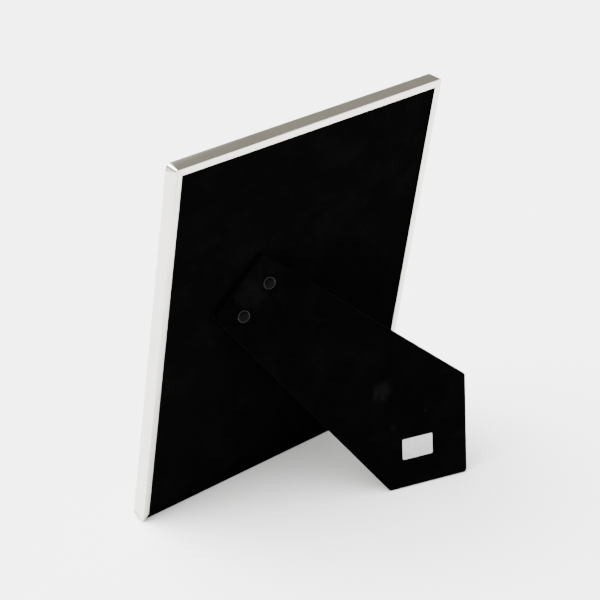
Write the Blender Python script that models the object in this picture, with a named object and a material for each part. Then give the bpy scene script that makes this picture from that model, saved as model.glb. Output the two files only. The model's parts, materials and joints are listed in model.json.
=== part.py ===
"""A table photo frame standing on its easel leg.

Four mitred metal rails hold a glass, a photo and a filler card.  A velvet-covered back slides in
through the open bottom edge, and carries a velvet-covered leg on a hinge that crosses it at 45
degrees, so the frame can stand upright or on its side.

Metres, +Z up.  The picture side faces -Y and leans back towards +Y; left and right are as seen
from the picture side.  The origin is the middle of the footprint, on the table.
"""

import math

import bmesh
import bpy

# Overall sizes
FRAME_WIDTH = 0.212
FRAME_HEIGHT = 0.260

# Rails
RAIL_WALL = 0.0009
LIP_THICKNESS = 0.0008
FRONT_LIP_WIDTH = 0.0062
REAR_LIP_WIDTH = 0.0050
FRONT_EDGE_RADIUS = 0.0016
REAR_EDGE_RADIUS = 0.0006

# Corner braces
BRACE_THICKNESS = 0.0010
BRACE_ARM = 0.0120

# Layers held by the rails
GLASS_THICKNESS = 0.0016
PHOTO_THICKNESS = 0.0003
CARD_THICKNESS = 0.0010
LINING_THICKNESS = 0.0003
BOARD_THICKNESS = 0.0020
VELVET_THICKNESS = 0.0005
PHOTO_MARGIN = 0.0005
BACK_LINING_MARGIN = 0.0040

# Clearances
GAP = 0.0003
SLIDE_CLEARANCE = 0.0005

# Leg
LEG_OPEN_ANGLE = math.radians(24.1)
HINGE_LINE_TURN = math.radians(135)
HINGE_FROM_RIGHT = 0.0634
HINGE_HEIGHT = 0.1558
HEEL_HALF_WIDTH = 0.0241
LEG_TAPER = 0.116
LEG_CORNER_RADIUS = 0.0018

# Hinge
HINGE_LENGTH = 0.0360
KNUCKLE_COUNT = 5
PIN_RADIUS = 0.0007
KNUCKLE_WALL = 0.0007
PIN_HEAD_RADIUS = 0.0013
PIN_HEAD_LENGTH = 0.0006
LEAF_THICKNESS = 0.0008
LEAF_REACH = 0.0140

# Rivets
LEG_RIVET_FROM_HINGE = 0.0070
LEG_RIVET_SPREAD = 0.0127
LEG_RIVET_SHANK = 0.0015
LEG_RIVET_HEAD = 0.0040
LEG_RIVET_DOME = 0.0011
LEG_RIVET_RIM = 0.0004
BOARD_RIVET_FROM_HINGE = 0.0085
BOARD_RIVET_SPREAD = 0.0050
BOARD_RIVET_SHANK = 0.0012
BOARD_RIVET_HEAD = 0.0022
RIVET_FLANGE = 0.0024
FLANGE_THICKNESS = 0.0004

# Label on the leg
LABEL_LENGTH = 0.0220
LABEL_WIDTH = 0.0145
LABEL_THICKNESS = 0.0003
LABEL_FROM_SIDE_EDGE = 0.0366
LABEL_FROM_BASE_EDGE = 0.0273
LABEL_CORNER_RADIUS = 0.0008

ARC_STEPS = 5
ROUND_SIDES = 24

HALF_WIDTH = FRAME_WIDTH / 2
BOARD_INSET = VELVET_THICKNESS + GAP
KNUCKLE_RADIUS = PIN_RADIUS + GAP + KNUCKLE_WALL
AXIS_OFFSET = KNUCKLE_RADIUS + GAP
LEAN = math.atan(math.tan(LEG_OPEN_ANGLE / 2) / math.sqrt(2))


def stack_layers():
    """Depth span (front, rear) of each layer behind the glass, and the depth of the whole rail."""
    spans = {}
    rear = -LIP_THICKNESS - GAP
    for name, thickness in (
        ("back_velvet", VELVET_THICKNESS),
        ("back_board", BOARD_THICKNESS),
        ("back_lining", LINING_THICKNESS),
        ("filler_card", CARD_THICKNESS),
        ("photo_insert", PHOTO_THICKNESS),
        ("glass", GLASS_THICKNESS),
    ):
        spans[name] = (rear - thickness, rear)
        rear -= thickness + GAP
    return spans, LIP_THICKNESS - rear


LAYERS, RAIL_DEPTH = stack_layers()
POCKET_REAR = LAYERS["filler_card"][1]
AXIS_Y = LAYERS["back_velvet"][1] + AXIS_OFFSET

# Depths measured from the hinge axis, outwards through the leg
LEG_LINING_SPAN = (AXIS_OFFSET, AXIS_OFFSET + LINING_THICKNESS)
LEG_BOARD_SPAN = (LEG_LINING_SPAN[1] + GAP, LEG_LINING_SPAN[1] + GAP + BOARD_THICKNESS)
LEG_VELVET_SPAN = (LEG_BOARD_SPAN[1] + GAP, LEG_BOARD_SPAN[1] + GAP + VELVET_THICKNESS)
LEG_FACE = LEG_VELVET_SPAN[1] + GAP
LEAF_SPAN = (KNUCKLE_RADIUS - LEAF_THICKNESS, KNUCKLE_RADIUS)


def clear_scene():
    for obj in list(bpy.data.objects):
        bpy.data.objects.remove(obj, do_unlink=True)


def material(name, colour, roughness, metallic=0.0, alpha=1.0):
    """A plain Principled material."""
    made = bpy.data.materials.new(name)
    made.use_nodes = True
    shader = made.node_tree.nodes["Principled BSDF"]
    shader.inputs["Base Color"].default_value = (*colour, 1.0)
    shader.inputs["Roughness"].default_value = roughness
    shader.inputs["Metallic"].default_value = metallic
    shader.inputs["Alpha"].default_value = alpha
    made.diffuse_color = (*colour, alpha)
    return made


def empty(name, location, rotation, parent=None):
    """A named frame that pieces hang from."""
    obj = bpy.data.objects.new(name, None)
    bpy.context.scene.collection.objects.link(obj)
    obj.location = location
    obj.rotation_euler = rotation
    obj.parent = parent
    return obj


def add_object(name, bm, parent, finish, location=(0, 0, 0), rotation=(0, 0, 0), smooth=False):
    """Turns a bmesh into a named object with outward normals."""
    bmesh.ops.recalc_face_normals(bm, faces=bm.faces)
    mesh = bpy.data.meshes.new(name)
    bm.to_mesh(mesh)
    bm.free()
    if smooth:
        mesh.shade_smooth()
        mesh.set_sharp_from_angle(angle=math.radians(40))
    obj = bpy.data.objects.new(name, mesh)
    bpy.context.scene.collection.objects.link(obj)
    obj.location = location
    obj.rotation_euler = rotation
    obj.parent = parent
    if finish:
        mesh.materials.append(finish)
    return obj


def as_helper(obj):
    """Marks a cutter or a union helper, which isn't a piece of the frame."""
    obj.hide_render = True
    obj.display_type = "WIRE"
    return obj


def combine(obj, other, operation):
    modifier = obj.modifiers.new(f"{operation.lower()}_{other.name}", "BOOLEAN")
    modifier.operation = operation
    modifier.solver = "EXACT"
    modifier.object = other


def loft(loops):
    """A closed body through loops of the same number of points, capped at both ends."""
    bm = bmesh.new()
    rings = [[bm.verts.new(point) for point in loop] for loop in loops]
    count = len(rings[0])
    for near, far in zip(rings, rings[1:]):
        for i in range(count):
            j = (i + 1) % count
            bm.faces.new((near[i], near[j], far[j], far[i]))
    bm.faces.new(rings[0])
    bm.faces.new(rings[-1])
    return bm


def slab(outline, low, high):
    """A flat plate: an outline in X and Y between two heights."""
    return loft([[(x, y, z) for x, y in outline] for z in (low, high)])


def upright_slab(outline, front, rear):
    """A plate standing up: an outline in X and Z between two depths."""
    return loft([[(x, y, z) for x, z in outline] for y in (front, rear)])


def rectangle(x0, x1, y0, y1):
    return [(x0, y0), (x1, y0), (x1, y1), (x0, y1)]


def rounded(outline, radii):
    """The outline with each corner replaced by an arc of its radius."""
    points = []
    count = len(outline)
    for i, corner in enumerate(outline):
        if radii[i] <= 0:
            points.append(corner)
            continue
        before, after = outline[i - 1], outline[(i + 1) % count]
        to_before = math.atan2(before[1] - corner[1], before[0] - corner[0])
        to_after = math.atan2(after[1] - corner[1], after[0] - corner[0])
        opening = (to_after - to_before + math.pi) % (2 * math.pi) - math.pi
        middle = to_before + opening / 2
        centre_distance = radii[i] / math.sin(abs(opening) / 2)
        centre = (
            corner[0] + centre_distance * math.cos(middle),
            corner[1] + centre_distance * math.sin(middle),
        )
        sweep = math.copysign(math.pi - abs(opening), -opening)
        start = middle + math.pi - sweep / 2
        for step in range(ARC_STEPS + 1):
            angle = start + sweep * step / ARC_STEPS
            points.append(
                (centre[0] + radii[i] * math.cos(angle), centre[1] + radii[i] * math.sin(angle))
            )
    return points


def turned(profile):
    """A body turned about Z from (radius, height) points that start and end on the axis."""
    bm = bmesh.new()
    verts = [bm.verts.new((radius, 0, height)) for radius, height in profile]
    edges = [bm.edges.new(pair) for pair in zip(verts, verts[1:])]
    bmesh.ops.spin(
        bm,
        geom=verts + edges,
        axis=(0, 0, 1),
        cent=(0, 0, 0),
        angle=2 * math.pi,
        steps=ROUND_SIDES,
        use_merge=True,
    )
    bmesh.ops.remove_doubles(bm, verts=bm.verts, dist=1e-6)
    return bm


def round_bar(radius, low, high):
    return turned([(0, low), (radius, low), (radius, high), (0, high)])


# Rails -----------------------------------------------------------------------------------------


def channel_profile():
    """(inset, depth) outline of a rail with a front lip, a side wall and a rear lip."""
    outline = [
        (0, -RAIL_DEPTH),
        (FRONT_LIP_WIDTH, -RAIL_DEPTH),
        (FRONT_LIP_WIDTH, -RAIL_DEPTH + LIP_THICKNESS),
        (RAIL_WALL, -RAIL_DEPTH + LIP_THICKNESS),
        (RAIL_WALL, -LIP_THICKNESS),
        (REAR_LIP_WIDTH, -LIP_THICKNESS),
        (REAR_LIP_WIDTH, 0),
        (0, 0),
    ]
    return rounded(outline, [FRONT_EDGE_RADIUS, 0, 0, 0, 0, 0, 0, REAR_EDGE_RADIUS])


def bottom_profile():
    """(inset, depth) outline of the bottom rail, whose wall ends in front of the back's slot."""
    outline = [
        (0, -RAIL_DEPTH),
        (FRONT_LIP_WIDTH, -RAIL_DEPTH),
        (FRONT_LIP_WIDTH, -RAIL_DEPTH + LIP_THICKNESS),
        (RAIL_WALL, -RAIL_DEPTH + LIP_THICKNESS),
        (RAIL_WALL, POCKET_REAR),
        (0, POCKET_REAR),
    ]
    return rounded(outline, [FRONT_EDGE_RADIUS, 0, 0, 0, 0, 0])


def add_rail(name, profile, length, end_gap, corner, quarter_turns, lean, finish):
    """A mitred rail: each end retreats by the inset, so its cut lies at 45 degrees."""
    start = [(inset + end_gap, depth, inset) for inset, depth in profile]
    end = [(length - inset - end_gap, depth, inset) for inset, depth in profile]
    add_object(
        name,
        loft([start, end]),
        lean,
        finish,
        location=(corner[0], 0, corner[1]),
        rotation=(0, -quarter_turns * math.pi / 2, 0),
        smooth=True,
    )


def add_rails(lean):
    metal = material("polished_silver", (0.80, 0.79, 0.77), 0.14, metallic=1.0)
    mitre = GAP * math.sqrt(2)
    channel = channel_profile()
    low_right, high_right = (HALF_WIDTH, 0), (HALF_WIDTH, FRAME_HEIGHT)
    high_left, low_left = (-HALF_WIDTH, FRAME_HEIGHT), (-HALF_WIDTH, 0)
    add_rail("bottom_rail", bottom_profile(), FRAME_WIDTH, mitre, low_left, 0, lean, metal)
    add_rail("right_rail", channel, FRAME_HEIGHT, 0, low_right, 1, lean, metal)
    add_rail("top_rail", channel, FRAME_WIDTH, mitre, high_right, 2, lean, metal)
    add_rail("left_rail", channel, FRAME_HEIGHT, 0, high_left, 3, lean, metal)


def add_braces(lean):
    steel = material("brace_steel", (0.52, 0.52, 0.53), 0.40, metallic=1.0)
    near = RAIL_WALL + GAP
    mid, far = near + BRACE_THICKNESS, near + BRACE_ARM
    ell = [(near, near), (far, near), (far, mid), (mid, mid), (mid, far), (near, far)]
    front = -RAIL_DEPTH + LIP_THICKNESS + GAP
    corners = (
        ("lower_left", -HALF_WIDTH, 0),
        ("lower_right", HALF_WIDTH, 0),
        ("upper_right", HALF_WIDTH, FRAME_HEIGHT),
        ("upper_left", -HALF_WIDTH, FRAME_HEIGHT),
    )
    for turns, (where, x, z) in enumerate(corners):
        add_object(
            f"corner_brace_{where}",
            upright_slab(ell, front, POCKET_REAR),
            lean,
            steel,
            location=(x, 0, z),
            rotation=(0, -turns * math.pi / 2, 0),
        )


# What the rails hold -----------------------------------------------------------------------------


def sheet_outline(side_inset, foot):
    """A rectangle inset from the frame at the sides and top, standing at foot."""
    return rectangle(
        -HALF_WIDTH + side_inset, HALF_WIDTH - side_inset, foot, FRAME_HEIGHT - side_inset
    )


def add_sheet(name, side_inset, foot, lean, finish):
    """An upright sheet in its own layer."""
    front, rear = LAYERS[name]
    outline = sheet_outline(side_inset, foot)
    return add_object(name, upright_slab(outline, front, rear), lean, finish)


def add_contents(lean):
    inset = RAIL_WALL + GAP + BRACE_THICKNESS + GAP
    photo_inset = inset + PHOTO_MARGIN
    clear = material("clear_glass", (0.93, 0.95, 0.95), 0.03, alpha=0.35)
    print_paper = material("print_paper", (0.80, 0.79, 0.76), 0.45)
    card = material("grey_card", (0.45, 0.43, 0.40), 0.85)
    add_sheet("glass", inset, inset, lean, clear)
    add_sheet("photo_insert", photo_inset, photo_inset, lean, print_paper)
    add_sheet("filler_card", inset, inset, lean, card)


# The sliding back --------------------------------------------------------------------------------


def add_back(lean, hinge):
    inset = RAIL_WALL + SLIDE_CLEARANCE
    board_finish = material("board_fibre", (0.16, 0.11, 0.07), 0.80)
    velvet_finish = material("black_velvet", (0.004, 0.004, 0.004), 0.95)
    paper = material("lining_paper", (0.02, 0.02, 0.02), 0.85)
    board = add_sheet("back_board", inset + BOARD_INSET, GAP + BOARD_INSET, lean, board_finish)
    lining_inset = inset + BACK_LINING_MARGIN
    add_sheet("back_lining", lining_inset, GAP + BACK_LINING_MARGIN, lean, paper)

    turned_in, face = LAYERS["back_board"][0], LAYERS["back_velvet"]
    cover = upright_slab(sheet_outline(inset, GAP), turned_in, face[1])
    velvet = add_object("back_velvet", cover, lean, velvet_finish)
    inside = sheet_outline(inset + VELVET_THICKNESS, GAP + VELVET_THICKNESS)
    hollow = add_object("back_hollow", upright_slab(inside, turned_in - GAP, face[0]), lean, None)
    combine(velvet, as_helper(hollow), "DIFFERENCE")

    front, rear = (depth - AXIS_Y for depth in LAYERS["back_board"])
    flange_rear = front + GAP + FLANGE_THICKNESS
    shank_hole = [
        (0, front - GAP),
        (RIVET_FLANGE + GAP, front - GAP),
        (RIVET_FLANGE + GAP, flange_rear + GAP),
        (BOARD_RIVET_SHANK + GAP, flange_rear + GAP),
        (BOARD_RIVET_SHANK + GAP, rear + AXIS_OFFSET),
        (0, rear + AXIS_OFFSET),
    ]
    for side, v in sides(BOARD_RIVET_SPREAD):
        place = (BOARD_RIVET_FROM_HINGE, v, 0)
        cutter = as_helper(
            add_object(f"back_hole_{side}", turned(shank_hole), hinge, None, location=place)
        )
        combine(board, cutter, "DIFFERENCE")
        combine(velvet, cutter, "DIFFERENCE")


def sides(spread):
    """The upper and the lower of two places, spread either way along the hinge."""
    return (("upper", spread), ("lower", -spread))


# The hinge ---------------------------------------------------------------------------------------


def hinge_leaf(name, first, facing, parent, rivets, rivet_shank, finish):
    """A leaf plate with every second knuckle from first; facing is 1 on the leg, -1 on the back."""
    half = HINGE_LENGTH / 2
    pitch = HINGE_LENGTH / KNUCKLE_COUNT
    low, high = sorted(facing * depth for depth in LEAF_SPAN)
    root = KNUCKLE_RADIUS + GAP
    leaf = add_object(
        name, slab(rectangle(root, LEAF_REACH, -half, half), low, high), parent, finish
    )
    for index in range(first, KNUCKLE_COUNT, 2):
        start = -half + index * pitch + GAP / 2
        stop = start + pitch - GAP
        web = add_object(
            f"{name}_web_{index}",
            slab(rectangle(0, root + GAP, start, stop), low, high),
            parent,
            None,
        )
        barrel = add_object(
            f"{name}_barrel_{index}",
            round_bar(KNUCKLE_RADIUS, -stop, -start),
            parent,
            None,
            rotation=(math.pi / 2, 0, 0),
        )
        combine(leaf, as_helper(web), "UNION")
        combine(leaf, as_helper(barrel), "UNION")
    bore = add_object(
        f"{name}_bore",
        round_bar(PIN_RADIUS + GAP, -HINGE_LENGTH, HINGE_LENGTH),
        parent,
        None,
        rotation=(math.pi / 2, 0, 0),
    )
    combine(leaf, as_helper(bore), "DIFFERENCE")
    for side, (u, v) in rivets:
        hole = add_object(
            f"{name}_hole_{side}",
            round_bar(rivet_shank + GAP, low - GAP, high + GAP),
            parent,
            None,
            location=(u, v, 0),
        )
        combine(leaf, as_helper(hole), "DIFFERENCE")
    return leaf


def add_hinge(hinge, leg):
    steel = material("hinge_steel", (0.10, 0.10, 0.105), 0.35, metallic=1.0)
    back_rivets = [(s, (BOARD_RIVET_FROM_HINGE, v)) for s, v in sides(BOARD_RIVET_SPREAD)]
    leg_rivets = [(s, (LEG_RIVET_FROM_HINGE, v)) for s, v in sides(LEG_RIVET_SPREAD)]
    hinge_leaf("hinge_board_leaf", 0, -1, hinge, back_rivets, BOARD_RIVET_SHANK, steel)
    hinge_leaf("hinge_leg_leaf", 1, 1, leg, leg_rivets, LEG_RIVET_SHANK, steel)

    inner = HINGE_LENGTH / 2 + GAP
    outer = inner + PIN_HEAD_LENGTH
    pin = [
        (0, -outer),
        (PIN_HEAD_RADIUS, -outer),
        (PIN_HEAD_RADIUS, -inner),
        (PIN_RADIUS, -inner),
        (PIN_RADIUS, inner),
        (PIN_HEAD_RADIUS, inner),
        (PIN_HEAD_RADIUS, outer),
        (0, outer),
    ]
    add_object(
        "hinge_pin", turned(pin), hinge, steel, rotation=(math.pi / 2, 0, 0), smooth=True
    )


def add_board_rivets(hinge):
    steel = material("rivet_steel", (0.30, 0.30, 0.31), 0.35, metallic=1.0)
    front = LAYERS["back_board"][0] - AXIS_Y + GAP
    head_low = -LEAF_SPAN[0] + GAP
    head_high = head_low + FLANGE_THICKNESS
    profile = [
        (0, front),
        (RIVET_FLANGE, front),
        (RIVET_FLANGE, front + FLANGE_THICKNESS),
        (BOARD_RIVET_SHANK, front + FLANGE_THICKNESS),
        (BOARD_RIVET_SHANK, head_low),
        (BOARD_RIVET_HEAD, head_low),
        (BOARD_RIVET_HEAD, head_high),
        (0, head_high),
    ]
    for side, v in sides(BOARD_RIVET_SPREAD):
        place = (BOARD_RIVET_FROM_HINGE, v, 0)
        add_object(f"board_rivet_{side}", turned(profile), hinge, steel, place, smooth=True)


# The leg -----------------------------------------------------------------------------------------


def foot_reach(distance):
    """How far the foot's edge lies from the hinge when it stands flat, for a hinge that far up."""
    along_leg = AXIS_OFFSET * math.sin(LEG_OPEN_ANGLE)
    behind = AXIS_Y + AXIS_OFFSET * math.cos(LEG_OPEN_ANGLE)
    return distance * math.sqrt(2) + along_leg - math.tan(LEG_OPEN_ANGLE / 2) * behind


BASE_REACH = foot_reach(HINGE_HEIGHT)
SIDE_REACH = foot_reach(FRAME_WIDTH - HINGE_FROM_RIGHT)
FOOT_CORNER = ((BASE_REACH + SIDE_REACH) / 2, (SIDE_REACH - BASE_REACH) / 2)


def leg_outline(inset):
    """Heel, tapered sides and the two foot edges, which meet at a right angle, all moved in by inset."""
    heel = (AXIS_OFFSET * (1 + math.cos(LEG_OPEN_ANGLE)) - GAP) / math.sin(LEG_OPEN_ANGLE)
    half_at_axis = HEEL_HALF_WIDTH + LEG_TAPER * heel - inset * math.hypot(1, LEG_TAPER)
    base_reach = BASE_REACH - inset * math.sqrt(2)
    side_reach = SIDE_REACH - inset * math.sqrt(2)
    side_u = (side_reach - half_at_axis) / (1 + LEG_TAPER)
    base_u = (base_reach - half_at_axis) / (1 + LEG_TAPER)
    heel_u = inset - heel
    heel_half_width = half_at_axis + LEG_TAPER * heel_u
    outline = [
        (heel_u, -heel_half_width),
        (base_u, base_u - base_reach),
        ((base_reach + side_reach) / 2, (side_reach - base_reach) / 2),
        (side_u, side_reach - side_u),
        (heel_u, heel_half_width),
    ]
    return rounded(outline, [LEG_CORNER_RADIUS - inset] * len(outline))


def add_leg(leg):
    """Board and lining inside a velvet cover, whose turned edge stands on the table and the back."""
    board_finish = material("leg_fibre", (0.16, 0.11, 0.07), 0.80)
    velvet_finish = material("leg_black_velvet", (0.004, 0.004, 0.004), 0.95)
    paper = material("leg_lining_paper", (0.02, 0.02, 0.02), 0.85)
    core = leg_outline(BOARD_INSET)
    lining = add_object("leg_lining", slab(core, *LEG_LINING_SPAN), leg, paper)
    board = add_object("leg_board", slab(core, *LEG_BOARD_SPAN), leg, board_finish)
    cover = slab(leg_outline(0), LEG_LINING_SPAN[0], LEG_VELVET_SPAN[1])
    velvet = add_object("leg_velvet", cover, leg, velvet_finish)
    inside = slab(leg_outline(VELVET_THICKNESS), LEG_LINING_SPAN[0] - GAP, LEG_VELVET_SPAN[0])
    combine(velvet, as_helper(add_object("leg_hollow", inside, leg, None)), "DIFFERENCE")
    hole = round_bar(LEG_RIVET_SHANK + GAP, 0, LEG_FACE + GAP)
    cutters = []
    for side, v in sides(LEG_RIVET_SPREAD):
        place = (LEG_RIVET_FROM_HINGE, v, 0)
        cutter = add_object(f"leg_hole_{side}", hole.copy(), leg, None, location=place)
        cutters.append(as_helper(cutter))
    hole.free()
    for sheet in (lining, board, velvet):
        for cutter in cutters:
            combine(sheet, cutter, "DIFFERENCE")


def add_leg_rivets(leg):
    black = material("rivet_black", (0.012, 0.012, 0.012), 0.22)
    flange_high = LEAF_SPAN[0] - GAP
    flange_low = flange_high - FLANGE_THICKNESS
    profile = [
        (0, flange_low),
        (RIVET_FLANGE, flange_low),
        (RIVET_FLANGE, flange_high),
        (LEG_RIVET_SHANK, flange_high),
        (LEG_RIVET_SHANK, LEG_FACE),
        (LEG_RIVET_HEAD, LEG_FACE),
        (LEG_RIVET_HEAD, LEG_FACE + LEG_RIVET_RIM),
    ]
    for step in range(1, ARC_STEPS + 1):
        angle = step * math.pi / 2 / ARC_STEPS
        rise = (LEG_RIVET_DOME - LEG_RIVET_RIM) * math.sin(angle)
        radius = 0 if step == ARC_STEPS else LEG_RIVET_HEAD * math.cos(angle)
        profile.append((radius, LEG_FACE + LEG_RIVET_RIM + rise))
    for side, v in sides(LEG_RIVET_SPREAD):
        place = (LEG_RIVET_FROM_HINGE, v, 0)
        add_object(f"leg_rivet_{side}", turned(profile), leg, black, place, smooth=True)


def add_label(leg):
    """A small plate set square to the foot's edges."""
    plate = material("label_silver", (0.62, 0.62, 0.63), 0.35)
    half_length, half_width = LABEL_LENGTH / 2, LABEL_WIDTH / 2
    outline = rounded(
        rectangle(-half_length, half_length, -half_width, half_width), [LABEL_CORNER_RADIUS] * 4
    )
    from_corner = (LABEL_FROM_SIDE_EDGE + LABEL_FROM_BASE_EDGE) / math.sqrt(2)
    across = (LABEL_FROM_BASE_EDGE - LABEL_FROM_SIDE_EDGE) / math.sqrt(2)
    place = (FOOT_CORNER[0] - from_corner, FOOT_CORNER[1] + across, LEG_FACE)
    add_object(
        "leg_label",
        slab(outline, 0, LABEL_THICKNESS),
        leg,
        plate,
        location=place,
        rotation=(0, 0, math.pi / 4),
    )


def footprint_middle():
    """Half way, front to back, between the front's lower edge and the leg's corner."""
    u = FOOT_CORNER[0]
    sin_open, cos_open = math.sin(LEG_OPEN_ANGLE), math.cos(LEG_OPEN_ANGLE)
    behind = AXIS_Y + u * sin_open + LEG_VELVET_SPAN[1] * cos_open
    rear = behind / math.cos(LEAN)
    front = -RAIL_DEPTH * math.cos(LEAN)
    return (front + rear) / 2


def main():
    clear_scene()
    lean = empty("lean", (0, -footprint_middle(), 0), (-LEAN, 0, 0))
    hinge_place = (HALF_WIDTH - HINGE_FROM_RIGHT, AXIS_Y, HINGE_HEIGHT)
    hinge = empty("hinge_line", hinge_place, (-math.pi / 2, HINGE_LINE_TURN, 0), lean)
    leg = empty("leg_open", (0, 0, 0), (0, -LEG_OPEN_ANGLE, 0), hinge)
    add_rails(lean)
    add_braces(lean)
    add_contents(lean)
    add_back(lean, hinge)
    add_hinge(hinge, leg)
    add_board_rivets(hinge)
    add_leg(leg)
    add_leg_rivets(leg)
    add_label(leg)


main()
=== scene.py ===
"""Finished surfaces of a table photo frame, seen from its velvet back.

Polished rails with mitred, softly rounded corners hold a glass and a print.  The back and its
easel leg are wrapped in black velvet.  The loaded frame gives every place; the sizes below are
those of the surface detail.
"""

import json
import math

import bmesh
import bpy
from bpy.props import FloatProperty, FloatVectorProperty, IntProperty, PointerProperty
from mathutils import Matrix, Vector, noise


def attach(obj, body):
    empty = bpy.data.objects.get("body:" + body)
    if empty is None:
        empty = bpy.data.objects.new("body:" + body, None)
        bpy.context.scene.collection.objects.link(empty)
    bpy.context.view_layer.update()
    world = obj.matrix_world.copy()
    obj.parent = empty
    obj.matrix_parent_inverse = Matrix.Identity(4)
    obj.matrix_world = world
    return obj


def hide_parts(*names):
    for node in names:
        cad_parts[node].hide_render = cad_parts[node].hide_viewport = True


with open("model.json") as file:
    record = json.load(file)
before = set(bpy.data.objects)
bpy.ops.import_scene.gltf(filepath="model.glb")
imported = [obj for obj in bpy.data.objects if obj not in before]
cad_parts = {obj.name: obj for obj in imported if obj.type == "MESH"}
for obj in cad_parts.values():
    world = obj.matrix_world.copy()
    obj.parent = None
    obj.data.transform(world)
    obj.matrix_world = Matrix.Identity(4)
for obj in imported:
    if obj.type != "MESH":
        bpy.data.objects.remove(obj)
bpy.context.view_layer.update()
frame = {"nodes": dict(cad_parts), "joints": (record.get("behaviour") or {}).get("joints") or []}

bl_info = {
    "name": "Table photo frame",
    "version": (1, 0, 0),
    "blender": (4, 5, 0),
    "location": "3D View > Sidebar > Photo frame",
    "description": "Finished surfaces of a table photo frame with a velvet easel back",
    "category": "Object",
}

MM = 0.001
SAME_PLACE = 1e-5
SHARP_ANGLE = math.radians(40)


# Axes of the frame and of the leg ----------------------------------------------------------------


class Axes:
    """Right-handed axes at an origin, in which pieces are drawn and nodes are measured."""

    def __init__(self, origin, x, y, z):
        turn = Matrix([Vector(axis).normalized() for axis in (x, y, z)]).transposed()
        self.matrix = Matrix.Translation(Vector(origin)) @ turn.to_4x4()

    def points(self, node):
        """The node's corners in these axes."""
        inverse = self.matrix.inverted()
        return [inverse @ vertex.co for vertex in frame["nodes"][node].data.vertices]

    def span(self, node):
        """The lowest and the highest corner of the node's box in these axes."""
        columns = list(zip(*self.points(node)))
        return Vector([min(c) for c in columns]), Vector([max(c) for c in columns])

    def place(self, point):
        """A point of these axes in the frame's own axes."""
        return self.matrix @ Vector(point)


JOINTS = {joint["name"]: joint for joint in frame["joints"]}
ACROSS = Vector((1, 0, 0))
UP = -Vector(JOINTS["back_slide"]["axis"]).normalized()
REAR = UP.cross(ACROSS)


def panel_axes():
    """Across, to the rear and up the leaning frame, from the middle of its lower rear edge."""
    low, high = Axes((0, 0, 0), ACROSS, REAR, UP).span("right_rail")
    return Axes(REAR * high.y + UP * low.z, ACROSS, REAR, UP)


def leg_axes():
    """Along the leg to its foot, up the hinge line and out of the leg's face, from the hinge."""
    hinge = JOINTS["leg_fold"]
    line = Vector(hinge["axis"]).normalized()
    opening = math.radians(hinge["range_deg"][1])
    folded = line.cross(REAR)
    along = folded * math.cos(opening) + REAR * math.sin(opening)
    outward = REAR * math.cos(opening) - folded * math.sin(opening)
    return Axes(hinge["pos_m"], along, line, outward)


PANEL = panel_axes()
LEG = leg_axes()
HALF_WIDTH = PANEL.span("right_rail")[1].x
FRAME_HEIGHT = PANEL.span("right_rail")[1].z
RAIL_DEPTH = -PANEL.span("right_rail")[0].y


def lip_reach(depth):
    """How far the right rail reaches in from its side at this depth."""
    corners = [p for p in PANEL.points("right_rail") if abs(p.y - depth) < SAME_PLACE]
    return HALF_WIDTH - min(corner.x for corner in corners)


# Settings a user may change ----------------------------------------------------------------------


def length(name, description, default):
    return FloatProperty(
        name=name, description=description, default=default, min=0, unit="LENGTH", precision=5
    )


def colour(name, description, default):
    return FloatVectorProperty(
        name=name, description=description, default=default, size=3, min=0, max=1,
        subtype="COLOR",
    )


class PhotoFrameSizes(bpy.types.PropertyGroup):
    """Sizes of the surface detail."""

    wall: length("Rail wall", "Thickness of a rail's side wall", 0.9 * MM)
    lip: length("Lip", "Thickness of a rail's lips", 0.8 * MM)
    front_edge: length("Front edge", "Rounding of the rails' front outer edge", 0.5 * MM)
    rear_edge: length("Rear edge", "Rounding of the rails' rear outer edge", 0.9 * MM)
    corner: length("Corner", "Rounding of the frame's corners at the rear", 1.2 * MM)
    front_corner: length("Front corner", "Rounding of the corners at the front", 2.8 * MM)
    seam: length("Seam", "Half the width of the gap at a mitre", 0.02 * MM)
    seam_bevel: length("Seam bevel", "Softened edge of metal along a mitre", 0.07 * MM)
    groove_place: length("Groove place", "From the side to the groove in the rear lip", 1.20 * MM)
    groove_width: length("Groove width", "Width of the groove in the rear lip", 0.30 * MM)
    groove_depth: length("Groove depth", "Depth of the groove in the rear lip", 0.04 * MM)
    open_depth: length("Open depth", "Depth of the groove at the upper corners", 0.60 * MM)
    open_width: length("Open width", "Width of the groove at the upper corners", 0.55 * MM)
    open_reach: length("Open reach", "How far down from a corner the groove closes", 60 * MM)
    cloth: length("Velvet", "Thickness of the velvet with its pile", 0.5 * MM)
    back_corner: length("Back corner", "Rounding of the back's corners", 1.2 * MM)
    back_fold: length("Back fold", "Rounding of the velvet over the back's edges", 0.6 * MM)
    back_crown: length("Back crown", "Rise of the velvet between the rear lips", 0.12 * MM)
    leg_corner: length("Leg corner", "Rounding of the leg's corners", 2.4 * MM)
    leg_fold: length("Leg fold", "Rounding of the velvet over the leg's edges", 0.9 * MM)
    leg_mesh: length("Leg mesh", "Spacing of the points on the leg's velvet", 1.5 * MM)
    back_mesh: length("Back mesh", "Spacing of the points on the back's velvet", 3.2 * MM)
    pull: length("Rivet pull", "How deep the rivets draw the velvet in", 0.22 * MM)
    pull_reach: length("Rivet pull reach", "How far from a rivet the velvet dips", 1.8 * MM)
    rivet_rim: length("Rivet rim", "Rounding of a rivet head's rim", 0.34 * MM)
    rivet_groove: length("Rivet groove", "Depth of the ring inside the rim", 0.16 * MM)
    label_corner: length("Label corner", "Rounding of the label's corners", 0.9 * MM)
    label_edge: length("Label edge", "Softened edge of the label", 0.12 * MM)
    rivet_sides: IntProperty(
        name="Rivet sides", description="Segments round a rivet head", default=72, min=12
    )


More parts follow.
